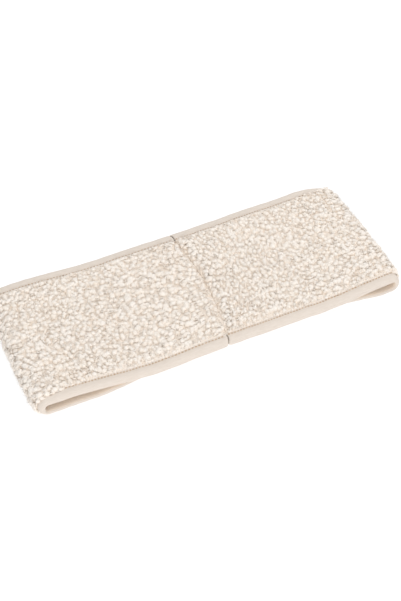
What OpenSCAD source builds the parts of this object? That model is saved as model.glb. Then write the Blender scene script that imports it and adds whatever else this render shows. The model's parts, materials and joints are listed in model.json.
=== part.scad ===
// Spa headband: a strip of pile cloth sewn into a loop that lies folded flat.
// The loop opens from flat to round, so the strip is a chain of panels that bend at lines across it.
// Each panel carries its own length of pile cloth and of both bindings.
// Frame: X runs from fold to fold, Y across the band, Z up from the face that it lies on.

/* [Band] */
// Length of the band laid flat, from fold to fold
flat_length = 250; // [220:5:280]
// Width of the band over both bindings
band_width = 98; // [70:1:120]
// Thickness of one layer of cloth, from the inside face to the tips of the pile
cloth_thickness = 5; // [4.2:0.1:8]
// Clear height between the two layers of the flat loop
loop_gap = 5.4; // [5:0.1:12]

/* [Binding] */
// Width of the tape on each face of the band
binding_width = 7.5; // [5:0.5:12]
// Thickness of the bound edge, over both halves of the tape
binding_height = 3.6; // [3.2:0.1:4]
// Thickness of the tape itself
tape_thickness = 0.7; // [0.4:0.1:0.9]

/* [Bends] */
// Distance from the middle of the band to its first bend line
first_bend = 19; // [14:1:24]
// Distance from the middle of the band to its second bend line
second_bend = 57; // [45:1:65]
// Distance from the middle of the band to its third bend line
third_bend = 95; // [80:1:100]
// Clearance between two neighbouring panels at a bend line
bend_clearance = 0.4; // [0.3:0.05:0.6]

/* [Seam] */
// Width of each turned-in end of the strip at the closing seam
allowance_width = 8; // [5:0.5:12]
// Thickness of a turned-in end, where the pile is shorn off
allowance_thickness = 1.2; // [0.8:0.1:1.4]
// Length of one stitch of the seam thread
stitch_length = 2.2; // [1.5:0.1:3]
// Distance from one seam stitch to the next
stitch_pitch = 3; // [2.5:0.1:4]
// Diameter of the seam thread
thread_diameter = 0.5; // [0.3:0.05:0.6]

/* [Hidden] */
$fn = 48;
fold_x = flat_length / 2 - cloth_thickness;
lower_face = cloth_thickness;
upper_face = lower_face + loop_gap;
half_width = band_width / 2;
// Depths below are measured outward from the inside face of the tape.
tape_outer_half = binding_height - tape_thickness;
nose_radius = binding_height / 2;
slot_start = half_width - 1.2;
cloth_edge = half_width - 1.5;
pile_edge = half_width - binding_width - 0.1;
stitch_row_x = allowance_width / 3;

// Panels: name, side (1 right, -1 left), layer, start and end along the layer
RIGHT = 1;
LEFT = -1;
function side_panels(word, side) = [
    [str(word, "_lower_inner"), side, "lower", first_bend, second_bend],
    [str(word, "_lower_middle"), side, "lower", second_bend, third_bend],
    [str(word, "_lower_outer"), side, "lower", third_bend, fold_x],
    [str(word, "_fold"), side, "fold", lower_face, upper_face],
    [str(word, "_upper_outer"), side, "upper", third_bend, fold_x],
    [str(word, "_upper_middle"), side, "upper", second_bend, third_bend],
    [str(word, "_upper_inner"), side, "upper", first_bend, second_bend],
    [str(word, "_top"), side, "upper", 0, first_bend]
];
PANELS = concat(
    [["base", RIGHT, "lower", -first_bend, first_bend]],
    side_panels("right", RIGHT),
    side_panels("left", LEFT)
);
PIECES = ["sherpa", "front_binding", "back_binding"];

// Cross-sections: X is across the band, Y is the depth outward from the tape's inside face

// Pile on its knitted ground, pressed thin where the tape holds its edges
module sherpa_section() {
    translate([-cloth_edge, tape_thickness])
        square([2 * cloth_edge, tape_outer_half - tape_thickness]);
    translate([-pile_edge, tape_thickness])
        square([2 * pile_edge, cloth_thickness - tape_thickness]);
}

module binding_section() {
    difference() {
        union() {
            translate([-half_width + nose_radius, 0])
                square([binding_width - nose_radius, binding_height]);
            translate([-half_width + nose_radius, nose_radius])
                circle(r = nose_radius);
        }
        translate([-slot_start, tape_thickness])
            square([binding_width, tape_outer_half - tape_thickness]);
    }
}

// Runs a cross-section along one panel, short of both of its bend lines by half the clearance
module along(panel) {
    start = panel[3] + bend_clearance / 2;
    length = panel[4] - panel[3] - bend_clearance;
    mirror([panel[1] == LEFT ? 1 : 0, 0, 0])
        if (panel[2] == "upper")
            translate([start, 0, upper_face]) rotate([90, 0, 90]) linear_extrude(length) children();
        else if (panel[2] == "lower")
            translate([start, 0, lower_face]) mirror([0, 0, 1])
                rotate([90, 0, 90]) linear_extrude(length) children();
        else
            translate([fold_x, 0, start]) mirror([1, 0, 0]) rotate([0, -90, 0])
                rotate([90, 0, 90]) linear_extrude(length) children();
}

module sherpa(panel) {
    color("antiquewhite") along(panel) sherpa_section();
}

module front_binding(panel) {
    color("bisque") along(panel) binding_section();
}

module back_binding(panel) {
    color("bisque") along(panel) mirror([1, 0]) binding_section();
}

// The strip's end turned in against its own inside face, beside the closing seam
module seam_allowance(side) {
    allowance_y = half_width - binding_width - 0.5;
    color("linen") mirror([side == LEFT ? 1 : 0, 0, 0])
        translate([bend_clearance / 2, -allowance_y, upper_face + tape_thickness - allowance_thickness])
            cube([allowance_width, 2 * allowance_y, allowance_thickness]);
}

// Lock stitches in a row on the left allowance, along the seam
module seam_thread() {
    row_half = floor((half_width - binding_width - stitch_pitch) / stitch_pitch) * stitch_pitch;
    thread_z = upper_face + tape_thickness - allowance_thickness - thread_diameter / 2;
    color("wheat")
        for (y = [-row_half : stitch_pitch : row_half])
            translate([-stitch_row_x, y - stitch_length / 2, thread_z]) rotate([-90, 0, 0])
                cylinder(h = stitch_length, d = thread_diameter);
}

for (panel = PANELS) {
    sherpa(panel);
    front_binding(panel);
    back_binding(panel);
}
seam_allowance(RIGHT);  // seam_allowance_right
seam_allowance(LEFT);  // seam_allowance_left
seam_thread();
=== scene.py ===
import json
import math

import bpy
import numpy as np
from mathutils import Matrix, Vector


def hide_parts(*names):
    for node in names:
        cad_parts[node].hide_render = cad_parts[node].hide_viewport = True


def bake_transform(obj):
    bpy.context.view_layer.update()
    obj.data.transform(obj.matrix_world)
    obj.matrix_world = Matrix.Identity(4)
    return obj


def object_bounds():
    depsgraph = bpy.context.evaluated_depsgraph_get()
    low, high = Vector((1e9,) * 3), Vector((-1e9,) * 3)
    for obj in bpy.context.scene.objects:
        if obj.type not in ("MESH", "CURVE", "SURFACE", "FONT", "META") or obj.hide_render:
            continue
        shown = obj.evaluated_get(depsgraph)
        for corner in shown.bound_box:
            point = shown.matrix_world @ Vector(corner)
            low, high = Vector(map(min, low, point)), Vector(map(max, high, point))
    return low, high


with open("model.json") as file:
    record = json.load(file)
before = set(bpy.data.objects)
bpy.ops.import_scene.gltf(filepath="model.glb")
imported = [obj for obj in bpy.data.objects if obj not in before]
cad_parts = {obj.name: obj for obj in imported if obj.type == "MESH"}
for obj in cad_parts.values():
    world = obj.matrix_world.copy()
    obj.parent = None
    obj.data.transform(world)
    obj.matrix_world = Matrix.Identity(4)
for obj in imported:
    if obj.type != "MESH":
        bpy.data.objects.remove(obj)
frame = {"record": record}
cad_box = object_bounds()

# ---------------------------------------------------------------------------
# Sizes, in millimetres, worked out from the frame
# ---------------------------------------------------------------------------
MM = 0.001
PIVOT = {j["name"]: np.array(j["pos_m"]) / MM for j in frame["record"]["behaviour"]["joints"]}
LOWER_FACE = PIVOT["loop_open"][2]          # inside face of the lower layer
UPPER_FACE = PIVOT["right_fold_upper"][2]   # inside face of the upper layer, as the solids have it
FIRST_BEND = PIVOT["loop_open"][0]
SECOND_BEND = PIVOT["right_bend_lower_middle"][0]
THIRD_BEND = PIVOT["right_bend_lower_outer"][0]
FOLD_X = PIVOT["right_fold_lower"][0]
HALF_WIDTH = cad_box[1][1] / MM
CLOTH = LOWER_FACE                          # thickness of one layer, pile included

TAPE = 0.7             # thickness of the binding tape
BACKING = 1.2          # thickness of the knitted backing
BACKING_OUT = TAPE + BACKING
BINDING_WIDTH = 7.5
STITCH_ROW = 6.25      # from the band's edge to the topstitching
STITCH_PITCH = 2.1
STITCH_LENGTH = 1.45   # of the part of each stitch that lies on the tape
STITCH_RADIUS = 0.28
SEAM_GAP = 0.05        # half of the gap between the strip's two ends at the closing seam
BINDING_GAP = 0.4      # half of the gap between the tape's two ends there

# How the flat loop really lies: the two layers touch in the middle and part towards the folds.
# Each side: middle and tip are the clear heights in the middle and at the fold. The layers start to part at
# part and are fully apart at full. The lower layer lies behind the upper one up to out_from and is in line
# with it from out_to on. skew is how far the fold runs askew, and drawn_in how far the band's edges are
# drawn in there.
LOOP = {
    1: dict(middle=1.4, tip=5.3, part=70.0, full=112.0, out_from=76.0, out_to=116.0, skew=-2.4, drawn_in=1.2),
    -1: dict(middle=1.4, tip=5.2, part=48.0, full=108.0, out_from=12.0, out_to=92.0, skew=-2.0, drawn_in=2.2),
}
TOP_SHIFT = 0.2        # how far the upper layer's middle lies towards the back
LOWER_SHIFT = 5.2      # how far the lower layer's middle lies towards the back
TOP_WIDENING = 1.8     # how far each edge of the upper layer spreads where it is widest
WIDEST_AT = 35.0
TOP_EDGE_DROOP = 0.9   # how far the upper layer's edges droop
BACK_LIFT = 2.4        # how far the upper layer's back edge stands off between the seam and the right fold
FRONT_IN = 2.6         # how far the upper layer's front edge lies back from the seam to the right fold
FOLD_FRONT_IN = 1.0    # how far the right fold's front end lies back
CORNER_IN = 5.5        # how far the right fold's back end is rounded off
BOW_FADE = 35.0        # how far along the band the cloth follows the closing seam's bow
FOLD_RADIUS = 2.2      # of the inside face where it turns up from the lower layer and over to the upper one
FLOOR_CLEARANCE = 0.15

rng = np.random.default_rng(7)


def smooth(t):
    t = np.clip(t, 0.0, 1.0)
    return t * t * (3 - 2 * t)


# ---------------------------------------------------------------------------
# The strip's path: one table for each side, from the middle of the lower layer round the fold to the seam
# ---------------------------------------------------------------------------
OUT_DEPTH = 3.2        # depth at which length along the strip is measured


class Path:
    """Inside face of one half of the loop. o is the length along it, measured OUT_DEPTH outside it."""

    def __init__(self, side):
        self.side = side
        loop = LOOP[side]
        corner_x = FOLD_X - FOLD_RADIUS
        flat = np.linspace(0, corner_x, 700)
        gap = loop["middle"] + (loop["tip"] - loop["middle"]) * smooth(
            (flat - loop["part"]) / (loop["full"] - loop["part"])
        )
        turn = np.linspace(0, math.pi / 2, 50)[1:]
        rise = np.linspace(FOLD_RADIUS, loop["tip"] - FOLD_RADIUS, 80)[1:-1]
        lower_turn_z = FOLD_RADIUS * (1 - np.cos(turn))
        x = np.concatenate([
            flat, corner_x + FOLD_RADIUS * np.sin(turn), np.full(len(rise), FOLD_X),
            corner_x + FOLD_RADIUS * np.sin(turn[::-1]), flat[::-1],
        ])
        z = LOWER_FACE + np.concatenate([
            np.zeros(len(flat)), lower_turn_z, rise, loop["tip"] - lower_turn_z[::-1], gap[::-1],
        ])
        dx, dz = np.gradient(x), np.gradient(z)
        length = np.hypot(dx, dz)
        self.nx, self.nz = dz / length, -dx / length
        self.x, self.z = x, z
        outer_x, outer_z = x + OUT_DEPTH * self.nx, z + OUT_DEPTH * self.nz
        step = np.hypot(np.diff(outer_x), np.diff(outer_z))
        self.o = np.concatenate([[0], np.cumsum(step)])
        self.total = self.o[-1]
        self.layer = smooth((self.z - LOWER_FACE) / loop["tip"])
        self.layer[:len(flat)] = 0
        self.layer[-len(flat):] = 1
        self.cuts = self.find_cuts(len(flat), len(x) - 2 * len(flat))
        self.fold = self.cuts[4]   # length at the middle of the fold

    def find_cuts(self, n_flat, n_turn):
        """Lengths at which the strip is cut into pieces: the middle of each rigid panel."""
        lower_x, lower_o = self.x[:n_flat], self.o[:n_flat]
        upper_x, upper_o = self.x[-n_flat:][::-1], self.o[-n_flat:][::-1]
        middles = [(FIRST_BEND + SECOND_BEND) / 2, (SECOND_BEND + THIRD_BEND) / 2, (THIRD_BEND + FOLD_X) / 2]
        return [
            0.0,
            *(float(np.interp(m, lower_x, lower_o)) for m in middles),
            float(self.o[n_flat + n_turn // 2]),
            *(float(np.interp(m, upper_x, upper_o)) for m in middles[::-1]),
            self.total,
        ]

    def place(self, o, v, d):
        """Points in metres for length o, place across v and depth d outward from the inside face."""
        x, z, nx, nz, layer = (
            np.interp(o, self.o, row) for row in (self.x, self.z, self.nx, self.nz, self.layer)
        )
        loop, side, across = LOOP[self.side], self.side, v / HALF_WIDTH
        px, pz = x + d * nx, z + d * nz
        px = px + smooth((x - 30) / 90) * (side * loop["skew"] * across - loop["drawn_in"] * across ** 2)
        px = px + side * layer * seam_bow(across) * np.exp(-(px / BOW_FADE) ** 2)
        middle = 1 - smooth((x - loop["out_from"]) / (loop["out_to"] - loop["out_from"]))
        y = v + middle * (layer * TOP_SHIFT + (1 - layer) * LOWER_SHIFT)
        y = y + layer * TOP_WIDENING * across * (1 - ((side * px - WIDEST_AT) / FOLD_X) ** 2)
        y = y + layer * FRONT_IN * smooth(-across) * smooth((side * px + 50) / 55)
        if side > 0:
            y = y + (1 - layer) * (1 - middle) * FOLD_FRONT_IN * smooth(-across)
            y = y - CORNER_IN * np.clip((px - 92) / 28, 0, 1.15) ** 2 * smooth((across - 0.35) / 0.65)
        edge = np.clip((np.abs(v) - HALF_WIDTH + 16) / 16, 0, 1) ** 2
        pz = pz - layer * edge * TOP_EDGE_DROOP * middle
        pz = pz + layer * BACK_LIFT * smooth(across) * np.exp(-((side * px - 62) / 34) ** 2)
        pz = pz + layer * 0.35 * np.sin(x / 17.0 + 1.3 + side) * np.sin(v / 23.0 + 0.6)
        # what would reach into the floor is pressed flat on it, over a soft stretch of this height
        soft = 0.35
        pz = FLOOR_CLEARANCE + soft * np.logaddexp(0, (pz - FLOOR_CLEARANCE) / soft)
        return np.stack([side * px, y, pz], axis=-1) * MM


def seam_bow(across):
    """How far the closing seam's line lies to the right: a slow bow, and a curved end in each binding."""
    slow = 2.1 + 6.0 * np.clip(1 - across ** 2, 0, 1)
    from_middle = (np.abs(across) - 1 + BINDING_WIDTH / 2 / HALF_WIDTH) / (BINDING_WIDTH / 2 / HALF_WIDTH)
    return slow + 0.8 * np.clip(1 - from_middle ** 2, 0, 1)


PATHS = {1: Path(1), -1: Path(-1)}
SIDE_WORD = {1: "right", -1: "left"}
# The pieces of each half, from the middle of the lower layer to the seam
SEGMENTS = ["lower_1", "lower_2", "lower_3", "fold_under", "fold_over", "upper_3", "upper_2", "upper_1"]
BODY_CHAIN = ["lower_inner", "lower_middle", "lower_outer", "fold",
              "upper_outer", "upper_middle", "upper_inner", "top"]
LAST = len(SEGMENTS) - 1   # the segment that ends at the closing seam
BEND_REACH = 17.0          # how far on each side of a bend line the cloth turns
SEAM_REACH = 9.5           # the same towards the seam on the right, where the seam's line bows out to 8 mm
FOLD_REACH = 2.6           # the same for the fold lines, along each axis


# ---------------------------------------------------------------------------
# Mesh helpers
# ---------------------------------------------------------------------------
def new_mesh(name, points, quads, attributes, rim=0):
    """An object from an array of points and an array of faces of four corners; a triangle repeats its last.
    The first and the last rim points are the rings round two cut ends, whose edges are sharp."""
    mesh = bpy.data.meshes.new(name)
    quads = np.asarray(quads, np.int32)
    triangle = quads[:, 2] == quads[:, 3]
    sizes = np.where(triangle, 3, 4).astype(np.int32)
    keep = np.ones(quads.shape, bool)
    keep[triangle, 3] = False
    loops = quads[keep]
    starts = np.concatenate([[0], np.cumsum(sizes)[:-1]]).astype(np.int32)
    mesh.vertices.add(len(points))
    mesh.vertices.foreach_set("co", np.asarray(points, np.float32).ravel())
    mesh.loops.add(len(loops))
    mesh.loops.foreach_set("vertex_index", loops)
    mesh.polygons.add(len(sizes))
    mesh.polygons.foreach_set("loop_start", starts)
    mesh.polygons.foreach_set("loop_total", sizes)
    mesh.update(calc_edges=True)
    mesh.polygons.foreach_set("use_smooth", np.ones(len(sizes), bool))
    if rim:
        ends = np.empty(len(mesh.edges) * 2, np.int32)
        mesh.edges.foreach_get("vertices", ends)
        ends = ends.reshape(-1, 2)
        sharp = (ends < rim).all(axis=1) | (ends >= len(points) - rim).all(axis=1)
        mesh.edges.foreach_set("use_edge_sharp", sharp)
    for key, values in attributes.items():
        attribute = mesh.attributes.new(key, "FLOAT_VECTOR", "POINT")
        attribute.data.foreach_set("vector", np.asarray(values, np.float32).ravel())
    obj = bpy.data.objects.new(name, mesh)
    bpy.context.scene.collection.objects.link(obj)
    return obj


def ring_quads(rings, points):
    """Faces of a tube of rings, each a closed row of points, without its ends."""
    r, p = np.meshgrid(np.arange(rings - 1), np.arange(points), indexing="ij")
    a = r * points + p
    b = r * points + (p + 1) % points
    return np.stack([a, b, b + points, a + points], axis=-1).reshape(-1, 4)


def end_quads(first, points, flip):
    """A closed profile that is two rows of equal length, filled row to row."""
    half = points // 2
    i = np.arange(half - 1)
    far = points - 1 - i
    faces = np.stack([i, far, far - 1, i + 1], axis=-1) + first
    return faces[:, ::-1] if flip else faces


def sweep(path, start, stop, profile, step, wobble=None):
    """A closed profile of (across, depth) swept along the strip: points, faces and cloth coordinates.
    The profile is two rows of equal length: out along the first and back along the second."""
    rings = max(3, int(math.ceil((stop - start) / step)) + 1)
    o = np.linspace(start, stop, rings)
    profile = np.asarray(profile, float)
    count = len(profile)
    oo = np.repeat(o, count)
    vv = np.tile(profile[:, 0], rings)
    dd = np.tile(profile[:, 1], rings)
    if wobble is not None:
        vv, dd = wobble(oo * path.side, vv, dd)
    points = path.place(oo, vv, dd)
    sides = ring_quads(rings, count)
    faces = np.concatenate([
        end_quads(0, count, path.side > 0),
        end_quads((rings - 1) * count, count, path.side < 0),
        sides[:, ::-1] if path.side > 0 else sides,
    ])
    cloth = np.stack([oo * path.side, vv, dd], axis=-1)
    return points, faces, cloth


def waves(o, v, seed, scale):
    """A smooth pseudo-random height between about -1 and 1, from a few crossed waves."""
    r = np.random.default_rng(seed)
    total = np.zeros_like(o)
    for _ in range(7):
        angle, phase = r.uniform(0, math.pi), r.uniform(0, 2 * math.pi)
        k = r.uniform(0.7, 1.5) / scale * 2 * math.pi
        total += np.sin((o * math.cos(angle) + v * math.sin(angle)) * k + phase)
    return total / 4.0


# ---------------------------------------------------------------------------
# Materials
# ---------------------------------------------------------------------------
class Shader:
    """A principled material and short ways to add nodes to it."""

    def __init__(self, name):
        self.material = bpy.data.materials.new(name)
        self.material.use_nodes = True
        self.tree = self.material.node_tree
        self.bsdf = self.tree.nodes["Principled BSDF"]

    def node(self, kind, **settings):
        node = self.tree.nodes.new(kind)
        for key, value in settings.items():
            setattr(node, key, value)
        return node

    def link(self, a, b):
        self.tree.links.new(a, b)

    def set(self, **values):
        for key, value in values.items():
            self.bsdf.inputs[key.replace("_", " ")].default_value = value

    def attribute(self, name):
        return self.node("ShaderNodeAttribute", attribute_name=name).outputs["Vector"]

    def scaled(self, vector, scale):
        mapping = self.node("ShaderNodeMapping")
        mapping.inputs["Scale"].default_value = scale
        self.link(vector, mapping.inputs["Vector"])
        return mapping.outputs["Vector"]

    def noise(self, vector, scale, detail=2.0, roughness=0.5):
        node = self.node("ShaderNodeTexNoise")
        node.inputs["Scale"].default_value = scale
        node.inputs["Detail"].default_value = detail
        node.inputs["Roughness"].default_value = roughness
        self.link(vector, node.inputs["Vector"])
        return node.outputs["Fac"]

    def ramp(self, factor, stops):
        node = self.node("ShaderNodeValToRGB")
        ramp = node.color_ramp
        while len(ramp.elements) < len(stops):
            ramp.elements.new(0.5)
        for element, (position, colour) in zip(ramp.elements, stops):
            element.position = position
            element.color = (*colour, 1)
        self.link(factor, node.inputs["Fac"])
        return node.outputs["Color"]

    def mix(self, factor, a, b, blend="MIX"):
        node = self.node("ShaderNodeMix", data_type="RGBA", blend_type=blend)
        for value, socket in ((factor, 0), (a, 6), (b, 7)):
            if isinstance(value, (int, float)):
                node.inputs[socket].default_value = value
            elif isinstance(value, tuple):
                node.inputs[socket].default_value = (*value, 1)
            else:
                self.link(value, node.inputs[socket])
        return node.outputs[2]

    def math(self, operation, a, b=0.0):
        node = self.node("ShaderNodeMath", operation=operation)
        for value, socket in ((a, 0), (b, 1)):
            if isinstance(value, (int, float)):
                node.inputs[socket].default_value = value
            else:
                self.link(value, node.inputs[socket])
        return node.outputs[0]

    def bump(self, height, strength, distance):
        node = self.node("ShaderNodeBump")
        node.inputs["Strength"].default_value = strength
        node.inputs["Distance"].default_value = distance
        self.link(height, node.inputs["Height"])
        self.link(node.outputs["Normal"], self.bsdf.inputs["Normal"])

    def colour(self, socket):
        self.link(socket, self.bsdf.inputs["Base Color"])


def separate(shader, vector):
    node = shader.node("ShaderNodeSeparateXYZ")
    shader.link(vector, node.inputs["Vector"])
    return node.outputs


def pile_material():
    """Curly pile: cream locks with painted shade, darker and warmer lower down towards the root, with fine
    fibres along each lock.
    """
    s = Shader("sherpa_pile")
    s.set(Roughness=0.9, Sheen_Weight=0.2, Sheen_Roughness=0.5, Specular_IOR_Level=0.2)
    height, tint, _ = separate(s, s.attribute("lock"))
    # painted shade: the colour darkens and warms with depth in the pile, where the locks shade one another
    depth_shade = s.ramp(height, [
        (0.0, (0.87, 0.76, 0.65)), (0.45, (0.89, 0.80, 0.71)),
        (0.75, (0.905, 0.83, 0.75)), (1.0, (0.92, 0.855, 0.785)),
    ])
    varied = s.mix(s.math("MULTIPLY", tint, 0.6), depth_shade, (0.86, 0.75, 0.64))
    place = s.node("ShaderNodeTexCoord").outputs["Object"]
    patches = s.ramp(s.noise(place, 170.0, 2.0), [(0.35, (0, 0, 0)), (0.65, (1, 1, 1))])
    s.colour(s.mix(s.math("MULTIPLY", patches, 0.35), varied, (0.90, 0.855, 0.81)))
    fibres = s.noise(s.attribute("fibre"), 1.6, 3.0, 0.65)
    s.bump(fibres, 0.45, 0.0004)
    return s.material


def binding_material():
    """Soft woven tape: fine ribs across it, finer threads along it, faint slubs; painted light on the inside
    face, which is lighter and warmer as if lit by warm light bouncing in the loop.
    """
    s = Shader("binding_tape")
    s.set(Roughness=0.78, Sheen_Weight=0.15, Sheen_Roughness=0.4, Specular_IOR_Level=0.25)
    cloth = s.attribute("cloth")
    ribs = s.node("ShaderNodeTexWave", wave_type="BANDS", bands_direction="X")
    ribs.inputs["Scale"].default_value = 0.45
    ribs.inputs["Distortion"].default_value = 0.6
    ribs.inputs["Detail"].default_value = 1.0
    ribs.inputs["Detail Scale"].default_value = 2.0
    s.link(cloth, ribs.inputs["Vector"])
    threads = s.node("ShaderNodeTexWave", wave_type="BANDS", bands_direction="Y")
    threads.inputs["Scale"].default_value = 0.6
    threads.inputs["Distortion"].default_value = 0.4
    s.link(cloth, threads.inputs["Vector"])
    slubs = s.noise(s.scaled(cloth, (0.22, 1.3, 1.3)), 1.0, 3.0)
    rib_part = s.math("MULTIPLY", ribs.outputs["Fac"], 0.6)
    thread_part = s.math("MULTIPLY", threads.outputs["Fac"], 0.4)
    weave = s.math("ADD", rib_part, thread_part)
    base = s.ramp(slubs, [(0.3, (0.71, 0.63, 0.555)), (0.7, (0.76, 0.685, 0.615))])
    tape = s.mix(s.math("MULTIPLY", weave, 0.16), base, (0.64, 0.54, 0.45))
    # painted light: the tape's inside face is lighter and warmer than its outside, standing in for warm light
    # bouncing inside the loop
    inside = s.math("LESS_THAN", separate(s, cloth)[2], 0.45)
    s.colour(s.mix(s.math("MULTIPLY", inside, 0.8), tape, (0.86, 0.735, 0.615)))
    s.bump(s.math("ADD", weave, slubs), 0.3, 0.0002)
    return s.material


def backing_material():
    """Smooth jersey: columns of small knit loops."""
    s = Shader("knit_backing")
    s.set(Roughness=0.85, Sheen_Weight=0.15, Sheen_Roughness=0.5, Specular_IOR_Level=0.2)
    cloth = s.attribute("cloth")
    columns = s.node("ShaderNodeTexWave", wave_type="BANDS", bands_direction="Y", wave_profile="SIN")
    columns.inputs["Scale"].default_value = 0.42
    columns.inputs["Distortion"].default_value = 0.8
    s.link(cloth, columns.inputs["Vector"])
    courses = s.node("ShaderNodeTexWave", wave_type="BANDS", bands_direction="X", wave_profile="SIN")
    courses.inputs["Scale"].default_value = 0.52
    courses.inputs["Distortion"].default_value = 1.2
    s.link(cloth, courses.inputs["Vector"])
    knit = s.math("MULTIPLY", columns.outputs["Fac"], courses.outputs["Fac"])
    fuzz = s.noise(cloth, 0.6, 3.0)
    base = s.ramp(fuzz, [(0.3, (0.89, 0.785, 0.675)), (0.7, (0.93, 0.84, 0.74))])
    s.colour(s.mix(s.math("MULTIPLY", knit, 0.15), base, (0.80, 0.68, 0.56)))
    s.bump(knit, 0.35, 0.0003)
    return s.material


def thread_material():
    """Twisted sewing thread, a little darker and warmer than the tape."""
    s = Shader("thread")
    s.set(Roughness=0.6, Sheen_Weight=0.1, Specular_IOR_Level=0.35)
    twist = s.node("ShaderNodeTexWave", wave_type="BANDS", bands_direction="DIAGONAL")
    twist.inputs["Scale"].default_value = 2.2
    s.link(s.attribute("cloth"), twist.inputs["Vector"])
    s.colour(s.ramp(twist.outputs["Fac"], [(0.2, (0.46, 0.30, 0.17)), (0.8, (0.64, 0.46, 0.30))]))
    s.bump(twist.outputs["Fac"], 0.4, 0.0001)
    return s.material


def floor_material():
    """Plain pale floor, lit a little from within so that it stays as white as a light table."""
    s = Shader("floor")
    s.set(Roughness=0.9, Specular_IOR_Level=0.1, Emission_Color=(1, 1, 1, 1), Emission_Strength=0.80)
    place = s.node("ShaderNodeTexCoord").outputs["Object"]
    s.colour(s.ramp(s.noise(place, 3.0), [(0.3, (0.275, 0.275, 0.275)), (0.7, (0.285, 0.285, 0.285))]))
    return s.material


MATERIALS = {
    "sherpa_pile": pile_material(),
    "binding_tape": binding_material(),
    "knit_backing": backing_material(),
    "thread": thread_material(),
}


def finish_piece(obj, slot, side, segment, nodes):
    """Puts the material on the piece, hides the solids that it stands for, and moves its placement into its
    mesh.
    """
    obj.data.materials.append(MATERIALS[slot])
    if nodes:
        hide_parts(*nodes)
    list(blend_line(side, segment))
    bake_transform(obj)
    return obj


def blend_line(side, segment):
    """Start and end of the turning stretch of one segment, in metres."""
    # each fold line turns the cloth along a slanting line through it, fully by the middle of the fold
    middle = LOWER_FACE + LOOP[side]["tip"] / 2
    low, high = (middle - LOWER_FACE) / 2, (UPPER_FACE - middle) / 2
    lines = [((bend - BEND_REACH, LOWER_FACE), (bend + BEND_REACH, LOWER_FACE))
             for bend in (FIRST_BEND, SECOND_BEND, THIRD_BEND)]
    lines += [
        ((FOLD_X - FOLD_REACH, LOWER_FACE - FOLD_REACH), (FOLD_X + low, LOWER_FACE + low)),
        ((FOLD_X + high, UPPER_FACE - high), (FOLD_X - FOLD_REACH, UPPER_FACE + FOLD_REACH)),
    ]
    lines += [((bend + BEND_REACH, UPPER_FACE), (bend - BEND_REACH, UPPER_FACE))
              for bend in (THIRD_BEND, SECOND_BEND, FIRST_BEND)]
    if side > 0:
        # both sides of the closing seam have turned fully by the time they meet
        lines[LAST] = (lines[LAST][0], (FIRST_BEND - SEAM_REACH, UPPER_FACE))
    return [(float(side * x * MM), 0.0, float(z * MM)) for x, z in lines[segment]]


def nodes_of(piece, side, segment):
    """The solids that one segment of one kind of piece stands for."""
    names = [f"{piece}_{SIDE_WORD[side]}_{BODY_CHAIN[segment]}"]
    if side > 0 and segment == 0:
        names.append(f"{piece}_base")
    return names


# ---------------------------------------------------------------------------
# Short closed tubes: stitches, lumps and curls
# ---------------------------------------------------------------------------
def spines(o, v, d, length, angle, bend=0.0, lift=0.0, tilt=0.0, rings=6):
    """The middle lines of many short tubes in cloth coordinates, one row of rings each, and their headings.
    Each is bent in the plane of the cloth, bowed outward by lift, and one end is higher by tilt."""
    o, v, d, length, angle, bend, lift, tilt = (
        np.asarray(a, float)[:, None] for a in np.broadcast_arrays(o, v, d, length, angle, bend, lift, tilt)
    )
    t = np.linspace(0, 1, rings)
    heading = angle + bend * (t - 0.5)
    along_o = np.cumsum(np.cos(heading) * length / (rings - 1), axis=1)
    along_v = np.cumsum(np.sin(heading) * length / (rings - 1), axis=1)
    middle = slice(rings // 2, rings // 2 + 1)
    return (
        o + along_o - along_o[:, middle],
        v + along_v - along_v[:, middle],
        d + lift * (np.sin(t * math.pi) - 0.5) + tilt * (t - 0.5),
        heading,
    )


def tubes(path, spine, radius, sides, knobs=0.0):
    """Closed tubes with rounded ends round many spines: points, faces and cloth coordinates."""
    mid_o, mid_v, mid_d, heading = (a[:, :, None] for a in spine)
    count, rings = spine[0].shape
    t = np.linspace(0, 1, rings)
    around = np.linspace(0, 2 * math.pi, sides, endpoint=False)
    taper = np.sqrt(np.clip(1 - np.abs(2 * t - 1) ** 2.6, 0.03, 1))
    r = np.broadcast_to(radius, count)[:, None, None] * taper[None, :, None]
    o = mid_o - np.sin(heading) * r * np.cos(around)
    v = mid_v + np.cos(heading) * r * np.cos(around)
    d = mid_d + r * np.sin(around)
    d = d + knobs * (np.sin(o * 5.1 + v * 3.3) + np.sin(v * 5.7 - d * 4.1 + o))
    o, v, d = o.ravel(), v.ravel(), d.ravel()
    fan = np.arange(1, sides - 1)
    zero = np.zeros_like(fan)
    one = np.concatenate([
        ring_quads(rings, sides),
        np.stack([zero, fan + 1, fan, fan], axis=-1),
        np.stack([zero, fan, fan + 1, fan + 1], axis=-1) + (rings - 1) * sides,
    ])
    if path.side > 0:
        one = turned_over(one)
    faces = (one[None] + (np.arange(count) * rings * sides)[:, None, None]).reshape(-1, 4)
    return path.place(o, v, d), faces, np.stack([o, v, d], axis=-1)


def turned_over(faces):
    """The same faces seen from the other side; a triangle still repeats its last corner."""
    triangle = (faces[:, 2] == faces[:, 3])[:, None]
    return np.where(triangle, faces[:, [1, 0, 2, 2]], faces[:, ::-1])


def joined(parts):
    """Several (points, faces, ...) made into one, with the faces' numbers moved on."""
    counts = np.cumsum([0] + [len(part[0]) for part in parts])
    faces = np.concatenate([part[1] + first for part, first in zip(parts, counts)])
    rest = [np.concatenate(column) for column in list(zip(*parts))[2:]]
    return np.concatenate([part[0] for part in parts]), faces, *rest


# ---------------------------------------------------------------------------
# Knitted backing
# ---------------------------------------------------------------------------
BACKING_EDGE = HALF_WIDTH - 1.6


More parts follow.
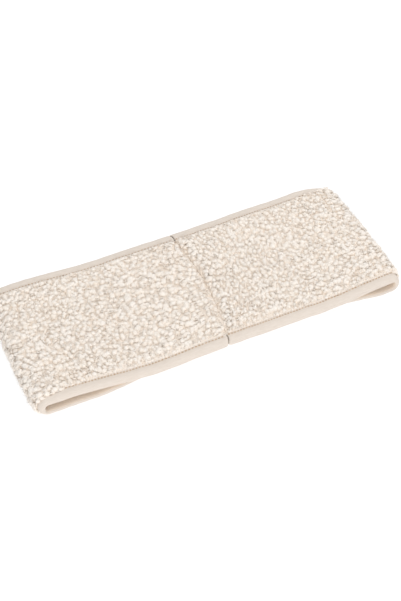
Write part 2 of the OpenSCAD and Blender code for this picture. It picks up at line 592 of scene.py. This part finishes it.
def inside_length(side, segment):
    """Length of one piece of the strip along the middle of the backing's inside, in metres."""
    path, samples = PATHS[side], 60
    o = np.linspace(path.cuts[segment], path.cuts[segment + 1], samples)
    line = path.place(o, np.zeros(samples), np.full(samples, TAPE))
    return float(np.linalg.norm(np.diff(line, axis=0), axis=1).sum())


def make_backing(side, segment):
    path = PATHS[side]
    start, stop = path.cuts[segment], path.cuts[segment + 1]
    if segment == LAST:
        stop -= SEAM_GAP
    across = np.linspace(-BACKING_EDGE, BACKING_EDGE, 49)
    profile = [(v, TAPE) for v in across] + [(v, BACKING_OUT) for v in across[::-1]]
    points, faces, cloth = sweep(path, start, stop, profile, 2.0)
    name = f"backing_{SIDE_WORD[side]}_{SEGMENTS[segment]}"
    obj = new_mesh(name, points, faces, {"cloth": cloth}, len(profile))
    return finish_piece(obj, "knit_backing", side, segment, [])


# ---------------------------------------------------------------------------
# Binding: a tape folded over the edge, with its inner edge turned under and stitched down
# ---------------------------------------------------------------------------
def binding_profile():
    """(distance in from the band's edge, depth) of the tape: its outside from the outer lip to the
    inner lip, then its inside back again."""
    outside = [
        (7.7, 2.75), (7.75, 3.25), (7.5, 3.68), (7.05, 3.78), (6.6, 3.55), (6.25, 3.38), (5.85, 3.45),
        (5.2, 3.74), (4.3, 3.92), (3.3, 3.96), (2.3, 3.84), (1.4, 3.50), (0.7, 2.95), (0.2, 2.3),
        (0.0, 1.7), (0.15, 1.05), (0.65, 0.45), (1.4, 0.10), (2.4, -0.02), (3.6, -0.04), (4.9, 0.0),
        (5.9, 0.10), (6.3, 0.16), (6.8, 0.04), (7.4, 0.0), (7.95, 0.16), (8.05, 0.5),
    ]
    out = np.array(outside)
    # the inside runs half a millimetre within the outside
    tangent = np.gradient(out, axis=0)
    normal = np.stack([-tangent[:, 1], tangent[:, 0]], axis=1)
    normal /= np.linalg.norm(normal, axis=1)[:, None]
    centre = np.array([4.0, 1.9])
    toward = np.sign(((centre - out) * normal).sum(axis=1))
    inside = out + normal * toward[:, None] * 0.5
    return out, inside[::-1]


def binding_drift(o, edge):
    """How far the tape's line wanders across the band."""
    seed = 42 if edge > 0 else 52
    return waves(o, 0 * o, seed, 60.0) * 0.25 + waves(o, 0 * o, seed + 1, 19.0) * 0.12


def binding_wobble(path, edge):
    """Puckers between stitches, slow swellings of the tape, and its ends rounded off at the closing seam."""
    seed = 40 if edge > 0 else 50
    tape_end = path.total - BINDING_GAP

    def move(o, v, d):
        distance = HALF_WIDTH - np.abs(v)
        pucker = 0.07 * np.sin(o * 2 * math.pi / STITCH_PITCH) * np.exp(-((distance - STITCH_ROW) / 1.3) ** 2)
        swell = waves(o, v * 0.3, seed, 24.0) * 0.22 * np.exp(-((distance - 3.4) / 3.0) ** 2)
        crease = waves(o, distance * 0.8, seed + 1, 7.0) * 0.09
        outward = np.where(d > 1.8, 1.0, -0.4)
        rounding = np.clip((np.abs(o) - tape_end + 1.6) / 1.6, 0, 1) ** 2
        d = d + outward * (pucker + swell + crease)
        d = 1.85 + (d - 1.85) * (1 - 0.3 * rounding)
        v = v + edge * (binding_drift(o, edge) * np.exp(-distance / 30.0) - 0.35 * rounding)
        return v, d
    return move


def make_binding(side, segment, edge, word):
    path = PATHS[side]
    start, stop = path.cuts[segment], path.cuts[segment + 1]
    if segment == LAST:
        stop -= BINDING_GAP
    loop = np.concatenate(binding_profile())
    profile = np.stack([edge * (HALF_WIDTH - loop[:, 0]), loop[:, 1]], axis=1)
    points, faces, cloth = sweep(path, start, stop, profile, 0.8, binding_wobble(path, edge))
    if edge > 0:
        faces = faces[:, ::-1]
    name = f"{word}_binding_{SIDE_WORD[side]}_{SEGMENTS[segment]}"
    obj = new_mesh(name, points, faces, {"cloth": cloth}, len(profile))
    return finish_piece(obj, "binding_tape", side, segment, nodes_of(f"{word}_binding", side, segment))


# ---------------------------------------------------------------------------
# Topstitching: one short thread for each stitch, dipping into the tape at both ends
# ---------------------------------------------------------------------------
def make_stitches(side, segment, edge, word):
    """The topstitch row of one binding: outside and inside of the band."""
    path = PATHS[side]
    start, stop = path.cuts[segment], path.cuts[segment + 1]
    centres = np.arange(math.ceil(start / STITCH_PITCH), stop / STITCH_PITCH) * STITCH_PITCH + 0.4
    if segment == LAST:
        centres = centres[centres < stop - 1.2]
    drift = binding_drift(centres * side, edge) * math.exp(-STITCH_ROW / 30.0)
    row = edge * (HALF_WIDTH - STITCH_ROW + drift)
    rows = []
    for depth, outward in ((3.50, 1), (0.06, -1)):
        line = spines(centres, row, depth, STITCH_LENGTH, 0.06, 0.0, 0.17 * outward)
        rows.append(tubes(path, line, STITCH_RADIUS, 6))
    points, faces, cloth = joined(rows)
    name = f"{word}_topstitch_{SIDE_WORD[side]}_{SEGMENTS[segment]}"
    obj = new_mesh(name, points, faces, {"cloth": cloth})
    return finish_piece(obj, "thread", side, segment, [])


# ---------------------------------------------------------------------------
# Pile: a bumpy ground, short thick lumps on it, thin curls between those, and loose fibres
# ---------------------------------------------------------------------------
PILE_EDGE = HALF_WIDTH - BINDING_WIDTH + 0.5
LOCK_EDGE = PILE_EDGE - 0.9   # the outermost locks' middles
GROUND_TOP = 3.9
LUMP_SPACING = 3.0
CURL_SPACING = 2.8
FIBRES_PER_MM2 = 1.4
FIBRE_RADIUS = 0.06


def fold_nearness(path, o):
    """1 at the fold, falling to 0 about 15 mm away from it."""
    return np.exp(-((o - path.fold) / 8.5) ** 2)


def overhang(path, o, v):
    """How far the pile reaches over the binding: furthest at the right fold's back end."""
    most = np.where(v < 0, 2.0, 5.5) if path.side > 0 else np.where(v < 0, 4.0, 2.5)
    long_reach = np.exp(-((o - path.fold) / 20.0) ** 2)
    return most * np.where(v * path.side > 0, long_reach, fold_nearness(path, o))


def pile_height(path, o, v):
    """How high the pile stands above its usual height: a valley at the seam with a smooth ridge on each
    side, higher on the right, and a faint second valley on the left; fuller at the folds; soft swells."""
    upper = np.interp(o, path.o, path.layer) > 0.5
    beside = path.side * (path.total - o)
    ridge = 0.5 * np.exp(-((np.abs(beside) - 4.2) / 2.2) ** 2) + 0.9 * np.exp(-((beside - 5.5) / 3.2) ** 2)
    valley = -2.1 * np.exp(-(beside / 2.1) ** 2) - 0.7 * np.exp(-((beside + 7.0) / 1.7) ** 2)
    swell = 0.40 * waves(o * path.side, v, 61, 17.0) + 0.22 * waves(o * path.side, v, 62, 7.5)
    return np.where(upper, valley + ridge, 0.0) + swell + 1.2 * fold_nearness(path, o)


def scattered(path, start, stop, spacing):
    """A jittered grid of places on the pile; at the folds it reaches over the binding."""
    rows = np.append(np.arange(start + 0.5, stop - 0.8, spacing * 0.9), stop - 0.3)
    columns = np.arange(-LOCK_EDGE, LOCK_EDGE, spacing)
    o, v = (g.ravel() for g in np.meshgrid(rows, columns, indexing="ij"))
    o = o + rng.uniform(-0.56, 0.56, o.shape) * spacing
    v = v + rng.uniform(-0.56, 0.56, v.shape) * spacing
    o = np.clip(o, start + 0.2, stop)
    reach = LOCK_EDGE + overhang(path, o, v)
    v = v * reach / LOCK_EDGE
    return o, np.clip(v, -reach, reach)


def well_inside(path, o, v):
    """1 over most of the pile, falling to 0 at its outermost locks."""
    return smooth((LOCK_EDGE + overhang(path, o, v) + 0.4 - np.abs(v)) / 2.5)


def lock_attributes(cloth, rings, sides, count, tint):
    """For every point: height above the ground and tint, and a place in a pattern of strands."""
    around = np.tile(np.arange(sides) / sides * 2 * math.pi, rings * count)
    t = np.tile(np.repeat(np.arange(rings) / max(rings - 1, 1), sides), count)
    number = np.repeat(np.arange(count), rings * sides)
    # painted shade: lower points get the darker, warmer colour of the pile's depth
    height = np.clip((cloth[:, 2] - 2.8) / (CLOTH - 2.4), 0, 1)
    lock = np.stack([height, np.repeat(tint, rings * sides), t], axis=-1)
    turn = around + 1.2 * t
    fibre = np.stack([3.4 * np.cos(turn) + number * 1.7, 3.4 * np.sin(turn), 2.2 * t + number * 0.3], axis=-1)
    return lock, fibre


def make_lumps(path, start, stop):
    """Short thick tufts, which give the pile its nubs."""
    o, v = scattered(path, start, stop, LUMP_SPACING)
    count = len(o)
    inside = well_inside(path, o, v)
    radius = rng.uniform(1.4, 2.1, count) * (0.6 + 0.4 * inside)
    top = CLOTH + 0.3 + pile_height(path, o, v) * 0.9 + rng.normal(0, 0.2, count) - 0.6 * (1 - inside)
    length = radius * rng.uniform(1.5, 2.5, count)
    heading = rng.uniform(0, 2 * math.pi, count)
    bend = rng.uniform(-0.9, 0.9, count)
    tilt = rng.uniform(-0.4, 0.4, count)
    line = spines(o, v, top - radius, length, heading, bend, 0.2, tilt, rings=7)
    points, faces, cloth = tubes(path, line, radius, 10, knobs=0.14)
    return points, faces, *lock_attributes(cloth, 7, 10, count, rng.uniform(0, 1, count) ** 2)


def make_curls(path, start, stop):
    """Thin curled strands that lie between the lumps and over their sides."""
    o, v = scattered(path, start, stop, CURL_SPACING)
    count = len(o)
    inside = well_inside(path, o, v)
    radius = rng.uniform(0.32, 0.6, count)
    lift = rng.uniform(-0.2, 0.3, count)
    top = CLOTH - 0.15 + pile_height(path, o, v) * 0.9 + rng.normal(0, 0.3, count) - 0.6 * (1 - inside)
    bend = rng.uniform(1.5, 4.5, count) * rng.choice([-1, 1], count)
    length = rng.uniform(2.0, 4.0, count)
    heading = rng.uniform(0, 2 * math.pi, count)
    tilt = rng.uniform(-0.8, 0.8, count)
    line = spines(o, v, top - radius - lift * 0.5, length, heading, bend, lift, tilt, rings=7)
    points, faces, cloth = tubes(path, line, radius, 6, knobs=0.06)
    return points, faces, *lock_attributes(cloth, 7, 6, count, rng.uniform(0, 1, count) ** 2)


def make_fibres(path, start, stop):
    """Single fibres that stand out of the pile: thin pointed slivers."""
    count = int((stop - start) * 2 * PILE_EDGE * FIBRES_PER_MM2)
    o, v = rng.uniform(start, stop, count), rng.uniform(-PILE_EDGE, PILE_EDGE, count)
    root = CLOTH - 0.3 + pile_height(path, o, v) * 0.9
    length = rng.uniform(0.9, 2.2, count) * (1 + 0.6 * fold_nearness(path, o))
    lean = rng.uniform(0.3, 1.3, count)
    heading = rng.uniform(0, 2 * math.pi, count)
    around = heading[:, None] + np.arange(3) * 2 * math.pi / 3
    reach = length * np.sin(lean)
    tip_o = (o + reach * np.cos(heading))[:, None]
    tip_v = (v + reach * np.sin(heading))[:, None]
    o = np.concatenate([o[:, None] + FIBRE_RADIUS * np.cos(around), tip_o], axis=1)
    v = np.concatenate([v[:, None] + FIBRE_RADIUS * np.sin(around), tip_v], axis=1)
    d = np.stack([root, root, root, root + length * np.cos(lean)], axis=1)
    cloth = np.stack([o.ravel(), v.ravel(), d.ravel()], axis=-1)
    one = np.array([(0, 2, 1, 1), (0, 1, 3, 3), (1, 2, 3, 3), (2, 0, 3, 3)])
    if path.side > 0:
        one = turned_over(one)
    faces = (one[None] + (np.arange(count) * 4)[:, None, None]).reshape(-1, 4)
    return path.place(*cloth.T), faces, *lock_attributes(cloth, 1, 4, count, np.zeros(count))


def make_ground(path, start, stop):
    """The pile's dense foot, bumpy on the outside."""
    across = np.linspace(-PILE_EDGE, PILE_EDGE, 85)
    profile = [(v, BACKING_OUT) for v in across] + [(v, GROUND_TOP) for v in across[::-1]]

    def bumps(o, v, d):
        lifted = d + 0.3 * waves(o, v, 63, 4.0) + 0.5 * np.minimum(pile_height(path, np.abs(o), v), 0.6)
        return v, np.where(d > 2.5, lifted, d)

    points, faces, cloth = sweep(path, start, stop, profile, 1.0, bumps)
    lock = np.zeros((len(points), 3))
    # painted shade: the ground takes the darker, warmer colour of the pile's depth
    lock[:, 0] = 0.3
    return points, faces, lock, cloth * 2.0


def make_pile(side, segment):
    path = PATHS[side]
    start, stop = path.cuts[segment], path.cuts[segment + 1]
    if segment == LAST:
        stop -= SEAM_GAP
    points, faces, lock, fibre = joined([
        make(path, start, stop) for make in (make_ground, make_lumps, make_curls, make_fibres)
    ])
    name = f"sherpa_{SIDE_WORD[side]}_{SEGMENTS[segment]}"
    obj = new_mesh(name, points, faces, {"lock": lock, "fibre": fibre})
    return finish_piece(obj, "sherpa_pile", side, segment, nodes_of("sherpa", side, segment))


# ---------------------------------------------------------------------------
# Closing seam: turned-in ends and their thread
# ---------------------------------------------------------------------------
ALLOWANCE_WIDTH = 8.0
ALLOWANCE_FACE = -0.35   # depth of the turned-in ends' inner face
ALLOWANCE_SPAN = HALF_WIDTH - BINDING_WIDTH - 0.8


def make_seam_allowance(side):
    path = PATHS[side]
    across = np.linspace(-ALLOWANCE_SPAN, ALLOWANCE_SPAN, 41)
    profile = [(v, ALLOWANCE_FACE) for v in across] + [(v, TAPE - 0.02) for v in across[::-1]]

    def ripple(o, v, d):
        return v, np.where(d < 0, d + 0.16 * waves(o, v, 71 + side, 9.0), d)

    stop = path.total - SEAM_GAP
    points, faces, cloth = sweep(path, stop - ALLOWANCE_WIDTH, stop, profile, 0.8, ripple)
    name = f"seam_allowance_{SIDE_WORD[side]}_flap"
    obj = new_mesh(name, points, faces, {"cloth": cloth}, len(profile))
    return finish_piece(obj, "knit_backing", side, LAST, [f"seam_allowance_{SIDE_WORD[side]}"])


def make_seam_thread(side):
    """Lock stitches beside the seam, and the overlock thread that wraps the turned-in end's raw edge."""
    path = PATHS[side]
    span = HALF_WIDTH - BINDING_WIDTH - 2.0
    stop = path.total - SEAM_GAP
    depth = ALLOWANCE_FACE - 0.01
    lock_v = np.arange(-span, span, 2.6)
    lock_row = spines(stop - 1.6, lock_v, depth, 2.1, math.pi / 2, 0.0, -0.1, rings=5)
    wrap_v = np.arange(-span, span, 1.3)
    slant = np.where(np.arange(len(wrap_v)) % 2 == 0, 0.35, -0.35)
    wrap_row = spines(stop - ALLOWANCE_WIDTH + 0.6, wrap_v, depth, 2.3, slant, 0.0, -0.12, rings=5)
    points, faces, cloth = joined([tubes(path, lock_row, 0.17, 6), tubes(path, wrap_row, 0.15, 6)])
    obj = new_mesh(f"seam_thread_{SIDE_WORD[side]}", points, faces, {"cloth": cloth})
    return finish_piece(obj, "thread", side, LAST, ["seam_thread"] if side < 0 else [])


# ---------------------------------------------------------------------------
# Assembly
# ---------------------------------------------------------------------------
for side in (1, -1):
    for segment in range(LAST + 1):
        pieces = [make_pile(side, segment)]
        for edge, word in ((-1, "front"), (1, "back")):
            pieces.append(make_binding(side, segment, edge, word))
            pieces.append(make_stitches(side, segment, edge, word))
        backing = make_backing(side, segment)
        if segment == LAST:
            pieces += [make_seam_allowance(side), make_seam_thread(side)]
        round(inside_length(side, segment), 4)


# ---------------------------------------------------------------------------
# Floor, light and camera
# ---------------------------------------------------------------------------
def add_stage():
    half = 6.0
    mesh = bpy.data.meshes.new("floor")
    corners = [(-half, -half, 0), (half, -half, 0), (half, half, 0), (-half, half, 0)]
    mesh.from_pydata(corners, [], [(0, 1, 2, 3)])
    floor = bpy.data.objects.new("floor", mesh)
    bpy.context.scene.collection.objects.link(floor)
    mesh.materials.append(floor_material())


def add_light(name, place, size, power):
    data = bpy.data.lights.new(name, "AREA")
    data.shape = "DISK"
    data.size = size
    data.energy = power
    obj = bpy.data.objects.new(name, data)
    obj.location = place
    obj.rotation_euler = (-Vector(place)).to_track_quat("-Z", "Y").to_euler()
    bpy.context.scene.collection.objects.link(obj)


def add_camera():
    azimuth, elevation, distance = math.radians(-23.26), math.radians(51.74), 0.6411
    level = math.cos(elevation)
    back = Vector((math.sin(azimuth) * level, -math.cos(azimuth) * level, math.sin(elevation)))
    target = Vector((0.0025, -0.0032, 0.0))
    data = bpy.data.cameras.new("camera")
    data.sensor_fit = "HORIZONTAL"
    data.sensor_width = 36
    data.lens = 88.4
    data.clip_start = 0.01
    camera = bpy.data.objects.new("camera", data)
    camera.location = target + back * distance
    camera.rotation_euler = back.to_track_quat("Z", "Y").to_euler()
    bpy.context.scene.collection.objects.link(camera)
    bpy.context.scene.camera = camera


def add_world():
    world = bpy.data.worlds.new("studio")
    world.use_nodes = True
    background = world.node_tree.nodes["Background"]
    background.inputs["Color"].default_value = (1.0, 1.0, 1.0, 1)
    background.inputs["Strength"].default_value = 0.62
    bpy.context.scene.world = world


add_stage()
add_world()
add_light("key", (0.6, 0.45, 1.1), 0.9, 7.4)
add_light("fill", (-0.9, 0.1, 1.0), 1.2, 0.8)
add_light("front", (-0.30, -1.1, 0.45), 0.6, 5.8)
add_camera()
bpy.context.scene.view_settings.view_transform = "Standard"
